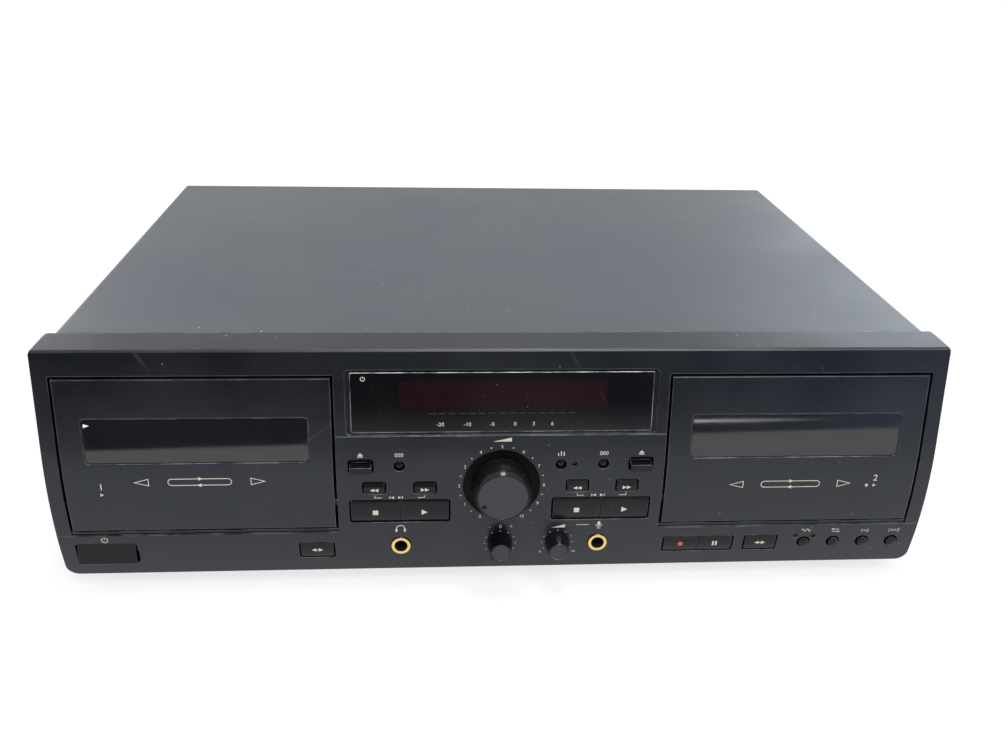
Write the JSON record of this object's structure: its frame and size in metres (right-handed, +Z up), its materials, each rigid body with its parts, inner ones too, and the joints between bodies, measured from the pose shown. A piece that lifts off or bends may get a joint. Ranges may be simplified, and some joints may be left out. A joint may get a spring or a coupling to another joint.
{
  "type": "double cassette deck",
  "caption": "black double cassette deck with two tilting doors in a bowed front, a wide display between them, transport keys and a level knob",
  "frame": {"origin": "on the floor, in the middle of the overall box", "axes": "+X to the right seen from the front, +Y to the back, +Z up"},
  "size_m": [0.435, 0.3236, 0.133],
  "materials": {
    "bare_steel": "zinc-plated sheet",
    "cover_paint": "satin dark grey paint",
    "back_paint": "flat black paint",
    "front_plastic": "semi-gloss black moulding",
    "door_plastic": "semi-gloss black moulding",
    "display_lens": "dark clear moulding, polished",
    "smoked_window": "smoked clear moulding, polished",
    "foot_plastic": "matte black moulding",
    "screw_steel": "blackened steel",
    "display_glass": "sealed glass tube",
    "board": "laminate with solder mask",
    "core_steel": "laminated core",
    "socket_brass": "gold-coloured plating",
    "socket_chrome": "nickel plating",
    "gland_rubber": "matte rubber",
    "mechanism_steel": "plated steel plate",
    "holder_plastic": "matte black moulding",
    "key_plastic": "semi-gloss black moulding",
    "knob_plastic": "gloss black skirt, matte cap",
    "head_steel": "plated steel",
    "wheel_steel": "turned steel",
    "reel_plastic": "pale moulding",
    "pulley_brass": "turned brass"
  },
  "bodies": {
    "case": {"chassis": "bare_steel", "top_cover": "cover_paint", "rear_panel": "back_paint", "upper_fascia": "front_plastic", "lower_fascia": "front_plastic", "display_window": "display_lens", "feet": "foot_plastic", "case_screws": "screw_steel", "display_tube": "display_glass", "circuit_boards": "board", "transformer": "core_steel", "front_sockets": "socket_brass", "line_sockets": "socket_chrome", "mains_gland": "gland_rubber", "mechanism_a": "mechanism_steel", "mechanism_b": "mechanism_steel", "drive_belts": "gland_rubber"},
    "door_assembly_a": {"door_a": "door_plastic", "door_window_a": "smoked_window", "cassette_holder_a": "holder_plastic"},
    "door_assembly_b": {"door_b": "door_plastic", "door_window_b": "smoked_window", "cassette_holder_b": "holder_plastic"},
    "power_key": {"power_key": "key_plastic"},
    "eject_key_a": {"eject_key_a": "key_plastic"},
    "counter_key_a": {"counter_key_a": "key_plastic"},
    "rewind_key_a": {"rewind_key_a": "key_plastic"},
    "forward_key_a": {"forward_key_a": "key_plastic"},
    "stop_key_a": {"stop_key_a": "key_plastic"},
    "play_key_a": {"play_key_a": "key_plastic"},
    "eject_key_b": {"eject_key_b": "key_plastic"},
    "counter_key_b": {"counter_key_b": "key_plastic"},
    "rewind_key_b": {"rewind_key_b": "key_plastic"},
    "forward_key_b": {"forward_key_b": "key_plastic"},
    "stop_key_b": {"stop_key_b": "key_plastic"},
    "play_key_b": {"play_key_b": "key_plastic"},
    "match_key": {"match_key": "key_plastic"},
    "direction_key_a": {"direction_key_a": "key_plastic"},
    "direction_key_b": {"direction_key_b": "key_plastic"},
    "record_key": {"record_key": "key_plastic"},
    "pause_key": {"pause_key": "key_plastic"},
    "noise_key": {"noise_key": "key_plastic"},
    "reverse_mode_key": {"reverse_mode_key": "key_plastic"},
    "normal_copy_key": {"normal_copy_key": "key_plastic"},
    "fast_copy_key": {"fast_copy_key": "key_plastic"},
    "level_knob": {"level_knob": "knob_plastic"},
    "pitch_knob": {"pitch_knob": "knob_plastic"},
    "mix_knob": {"mix_knob": "knob_plastic"},
    "head_carriage_a": {"head_carriage_a": "head_steel"},
    "left_capstan_a": {"left_capstan_a": "wheel_steel"},
    "right_capstan_a": {"right_capstan_a": "wheel_steel"},
    "motor_pulley_a": {"motor_pulley_a": "pulley_brass"},
    "left_reel_a": {"left_reel_a": "reel_plastic"},
    "right_reel_a": {"right_reel_a": "reel_plastic"},
    "head_carriage_b": {"head_carriage_b": "head_steel"},
    "left_capstan_b": {"left_capstan_b": "wheel_steel"},
    "right_capstan_b": {"right_capstan_b": "wheel_steel"},
    "motor_pulley_b": {"motor_pulley_b": "pulley_brass"},
    "left_reel_b": {"left_reel_b": "reel_plastic"},
    "right_reel_b": {"right_reel_b": "reel_plastic"}
  },
  "joints": [
    {"name": "door_a_tilt", "type": "hinge", "parent": "case", "child": "door_assembly_a", "pos_m": [-0.1454, -0.14524, 0.0513], "axis": [1, 0, 0], "range_deg": [0, 28]},
    {"name": "door_b_tilt", "type": "hinge", "parent": "case", "child": "door_assembly_b", "pos_m": [0.1454, -0.14524, 0.0513], "axis": [1, 0, 0], "range_deg": [0, 28]},
    {"name": "power_key_press", "type": "slide", "parent": "case", "child": "power_key", "axis": [0, 1, 0], "range_m": [0, 0.003], "stiffness_N_per_m": 400},
    {"name": "eject_key_a_press", "type": "slide", "parent": "case", "child": "eject_key_a", "axis": [0, 1, 0], "range_m": [0, 0.0012], "stiffness_N_per_m": 700},
    {"name": "counter_key_a_press", "type": "slide", "parent": "case", "child": "counter_key_a", "axis": [0, 1, 0], "range_m": [0, 0.0012], "stiffness_N_per_m": 700},
    {"name": "rewind_key_a_press", "type": "slide", "parent": "case", "child": "rewind_key_a", "axis": [0, 1, 0], "range_m": [0, 0.0012], "stiffness_N_per_m": 700},
    {"name": "forward_key_a_press", "type": "slide", "parent": "case", "child": "forward_key_a", "axis": [0, 1, 0], "range_m": [0, 0.0012], "stiffness_N_per_m": 700},
    {"name": "stop_key_a_press", "type": "slide", "parent": "case", "child": "stop_key_a", "axis": [0, 1, 0], "range_m": [0, 0.0012], "stiffness_N_per_m": 700},
    {"name": "play_key_a_press", "type": "slide", "parent": "case", "child": "play_key_a", "axis": [0, 1, 0], "range_m": [0, 0.0012], "stiffness_N_per_m": 700},
    {"name": "eject_key_b_press", "type": "slide", "parent": "case", "child": "eject_key_b", "axis": [0, 1, 0], "range_m": [0, 0.0012], "stiffness_N_per_m": 700},
    {"name": "counter_key_b_press", "type": "slide", "parent": "case", "child": "counter_key_b", "axis": [0, 1, 0], "range_m": [0, 0.0012], "stiffness_N_per_m": 700},
    {"name": "rewind_key_b_press", "type": "slide", "parent": "case", "child": "rewind_key_b", "axis": [0, 1, 0], "range_m": [0, 0.0012], "stiffness_N_per_m": 700},
    {"name": "forward_key_b_press", "type": "slide", "parent": "case", "child": "forward_key_b", "axis": [0, 1, 0], "range_m": [0, 0.0012], "stiffness_N_per_m": 700},
    {"name": "stop_key_b_press", "type": "slide", "parent": "case", "child": "stop_key_b", "axis": [0, 1, 0], "range_m": [0, 0.0012], "stiffness_N_per_m": 700},
    {"name": "play_key_b_press", "type": "slide", "parent": "case", "child": "play_key_b", "axis": [0, 1, 0], "range_m": [0, 0.0012], "stiffness_N_per_m": 700},
    {"name": "match_key_press", "type": "slide", "parent": "case", "child": "match_key", "axis": [0, 1, 0], "range_m": [0, 0.0012], "stiffness_N_per_m": 700},
    {"name": "direction_key_a_press", "type": "slide", "parent": "case", "child": "direction_key_a", "axis": [0, 1, 0], "range_m": [0, 0.0012], "stiffness_N_per_m": 700},
    {"name": "direction_key_b_press", "type": "slide", "parent": "case", "child": "direction_key_b", "axis": [0, 1, 0], "range_m": [0, 0.0012], "stiffness_N_per_m": 700},
    {"name": "record_key_press", "type": "slide", "parent": "case", "child": "record_key", "axis": [0, 1, 0], "range_m": [0, 0.0012], "stiffness_N_per_m": 700},
    {"name": "pause_key_press", "type": "slide", "parent": "case", "child": "pause_key", "axis": [0, 1, 0], "range_m": [0, 0.0012], "stiffness_N_per_m": 700},
    {"name": "noise_key_press", "type": "slide", "parent": "case", "child": "noise_key", "axis": [0, 1, 0], "range_m": [0, 0.0012], "stiffness_N_per_m": 700},
    {"name": "reverse_mode_key_press", "type": "slide", "parent": "case", "child": "reverse_mode_key", "axis": [0, 1, 0], "range_m": [0, 0.0012], "stiffness_N_per_m": 700},
    {"name": "normal_copy_key_press", "type": "slide", "parent": "case", "child": "normal_copy_key", "axis": [0, 1, 0], "range_m": [0, 0.0012], "stiffness_N_per_m": 700},
    {"name": "fast_copy_key_press", "type": "slide", "parent": "case", "child": "fast_copy_key", "axis": [0, 1, 0], "range_m": [0, 0.0012], "stiffness_N_per_m": 700},
    {"name": "level_knob_turn", "type": "hinge", "parent": "case", "child": "level_knob", "pos_m": [0, -0.14978, 0.0619], "axis": [0, 1, 0], "range_deg": [-30, 270]},
    {"name": "pitch_knob_turn", "type": "hinge", "parent": "case", "child": "pitch_knob", "pos_m": [0, -0.14731, 0.0264], "axis": [0, 1, 0], "range_deg": [-15, 285]},
    {"name": "mix_knob_turn", "type": "hinge", "parent": "case", "child": "mix_knob", "pos_m": [0.0293, -0.14731, 0.0264], "axis": [0, 1, 0], "range_deg": [-150, 150]},
    {"name": "head_carriage_a_lift", "type": "slide", "parent": "case", "child": "head_carriage_a", "axis": [0, 0, 1], "range_m": [0, 0.005]},
    {"name": "left_capstan_a_turn", "type": "hinge", "parent": "case", "child": "left_capstan_a", "pos_m": [-0.1769, -0.11482, 0.0548], "axis": [0, 1, 0], "continuous": true},
    {"name": "right_capstan_a_turn", "type": "hinge", "parent": "case", "child": "right_capstan_a", "pos_m": [-0.1139, -0.11482, 0.0548], "axis": [0, 1, 0], "continuous": true},
    {"name": "motor_pulley_a_turn", "type": "hinge", "parent": "case", "child": "motor_pulley_a", "pos_m": [-0.0994, -0.11482, 0.0838], "axis": [0, 1, 0], "continuous": true},
    {"name": "left_reel_a_turn", "type": "hinge", "parent": "case", "child": "left_reel_a", "pos_m": [-0.16665, -0.13182, 0.0827], "axis": [0, 1, 0], "continuous": true},
    {"name": "right_reel_a_turn", "type": "hinge", "parent": "case", "child": "right_reel_a", "pos_m": [-0.12415, -0.13182, 0.0827], "axis": [0, 1, 0], "continuous": true},
    {"name": "head_carriage_b_lift", "type": "slide", "parent": "case", "child": "head_carriage_b", "axis": [0, 0, 1], "range_m": [0, 0.005]},
    {"name": "left_capstan_b_turn", "type": "hinge", "parent": "case", "child": "left_capstan_b", "pos_m": [0.1139, -0.11482, 0.0548], "axis": [0, 1, 0], "continuous": true},
    {"name": "right_capstan_b_turn", "type": "hinge", "parent": "case", "child": "right_capstan_b", "pos_m": [0.1769, -0.11482, 0.0548], "axis": [0, 1, 0], "continuous": true},
    {"name": "motor_pulley_b_turn", "type": "hinge", "parent": "case", "child": "motor_pulley_b", "pos_m": [0.1914, -0.11482, 0.0838], "axis": [0, 1, 0], "continuous": true},
    {"name": "left_reel_b_turn", "type": "hinge", "parent": "case", "child": "left_reel_b", "pos_m": [0.12415, -0.13182, 0.0827], "axis": [0, 1, 0], "continuous": true},
    {"name": "right_reel_b_turn", "type": "hinge", "parent": "case", "child": "right_reel_b", "pos_m": [0.16665, -0.13182, 0.0827], "axis": [0, 1, 0], "continuous": true}
  ],
  "couplings": [
    {"joint": "left_capstan_a_turn", "follows": "motor_pulley_a_turn", "ratio": 0.27223},
    {"joint": "right_capstan_a_turn", "follows": "motor_pulley_a_turn", "ratio": -0.27223},
    {"joint": "left_capstan_b_turn", "follows": "motor_pulley_b_turn", "ratio": 0.27223},
    {"joint": "right_capstan_b_turn", "follows": "motor_pulley_b_turn", "ratio": -0.27223}
  ]
}
